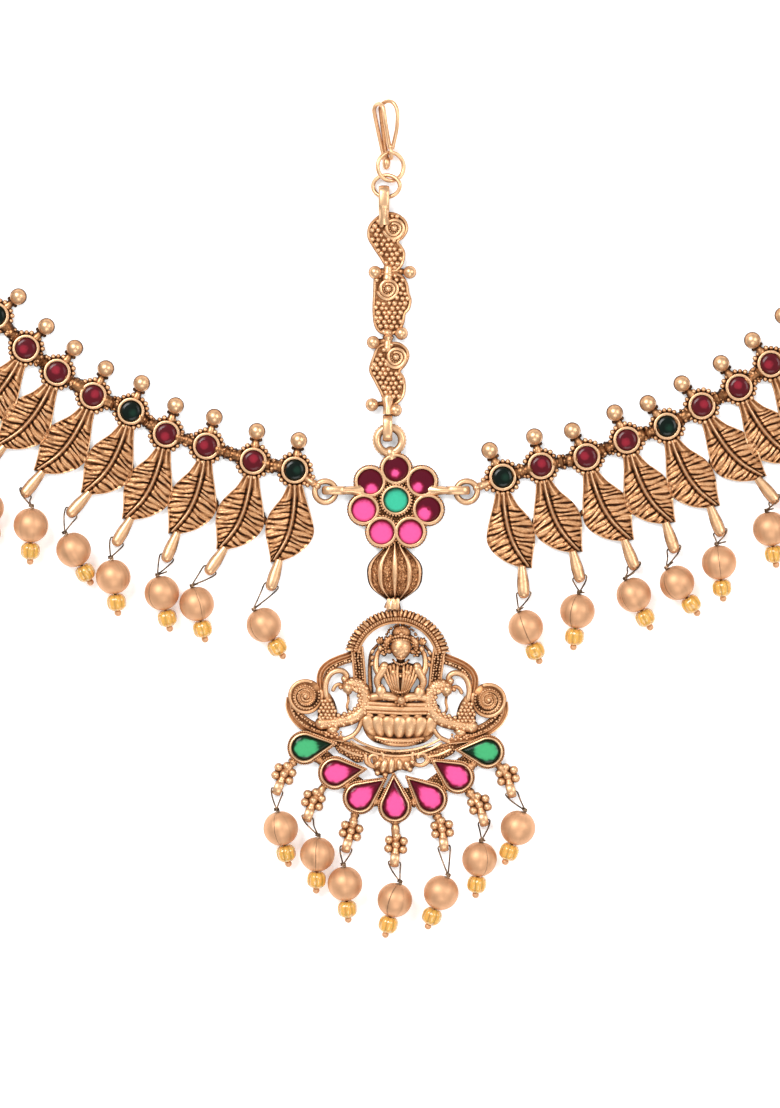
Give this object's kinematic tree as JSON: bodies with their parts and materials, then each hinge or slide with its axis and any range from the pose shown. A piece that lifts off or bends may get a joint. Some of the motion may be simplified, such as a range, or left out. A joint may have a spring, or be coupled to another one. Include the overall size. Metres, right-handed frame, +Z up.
{
  "type": "matha patti",
  "caption": "Forehead and parting jewel: a paisley bar on a hair hook, a stone rosette, a pierced pendant with stones and bead drops, and two leaf bands to end hooks.",
  "frame": {"origin": "middle of the jewel's footprint on the surface it lies on", "axes": "+X along the bands to the wearer's-view right, +Y towards the top hook, +Z up from the surface, out of the jewel's face"},
  "size_m": [0.209, 0.14, 0.0058],
  "materials": {
    "antique_gold": "matte antique copper-gold plating, dark in the recesses",
    "gold_bead": "matte peach-gold plated hollow bead",
    "pin_wire": "thin darkened headpin wire",
    "pink_glass": "foil-backed pink glass",
    "teal_glass": "foil-backed teal-green glass",
    "pear_green_glass": "foil-backed green glass",
    "dark_green_glass": "nearly black green glass",
    "dark_ruby_glass": "dark ruby glass",
    "amber_glass": "translucent amber-yellow glass"
  },
  "bodies": {
    "root": {"bar_ring": "antique_gold", "heart_stone": "teal_glass", "hook_ring": "antique_gold", "left_band": "antique_gold", "left_band_beads": "gold_bead", "left_band_glass": "amber_glass", "left_band_greens": "dark_green_glass", "left_band_pins": "pin_wire", "left_band_rubies": "dark_ruby_glass", "left_end_hook": "antique_gold", "paisley_bar": "antique_gold", "pear_stone_1": "pear_green_glass", "pear_stone_2": "pink_glass", "pear_stone_3": "pink_glass", "pear_stone_4": "pink_glass", "pear_stone_5": "pink_glass", "pear_stone_6": "pink_glass", "pear_stone_7": "pear_green_glass", "pendant_bead_1": "gold_bead", "pendant_bead_2": "gold_bead", "pendant_bead_3": "gold_bead", "pendant_bead_4": "gold_bead", "pendant_bead_5": "gold_bead", "pendant_bead_6": "gold_bead", "pendant_bead_7": "gold_bead", "pendant_casting": "antique_gold", "pendant_glass_1": "amber_glass", "pendant_glass_2": "amber_glass", "pendant_glass_3": "amber_glass", "pendant_glass_4": "amber_glass", "pendant_glass_5": "amber_glass", "pendant_glass_6": "amber_glass", "pendant_glass_7": "amber_glass", "pendant_pin_1": "pin_wire", "pendant_pin_2": "pin_wire", "pendant_pin_3": "pin_wire", "pendant_pin_4": "pin_wire", "pendant_pin_5": "pin_wire", "pendant_pin_6": "pin_wire", "pendant_pin_7": "pin_wire", "petal_stone_1": "pink_glass", "petal_stone_2": "pink_glass", "petal_stone_3": "pink_glass", "petal_stone_4": "pink_glass", "petal_stone_5": "pink_glass", "petal_stone_6": "pink_glass", "petal_stone_7": "pink_glass", "right_band": "antique_gold", "right_band_beads": "gold_bead", "right_band_glass": "amber_glass", "right_band_greens": "dark_green_glass", "right_band_pins": "pin_wire", "right_band_rubies": "dark_ruby_glass", "right_end_hook": "antique_gold", "rosette_casting": "antique_gold", "top_hook": "antique_gold"}
  },
  "joints": []
}
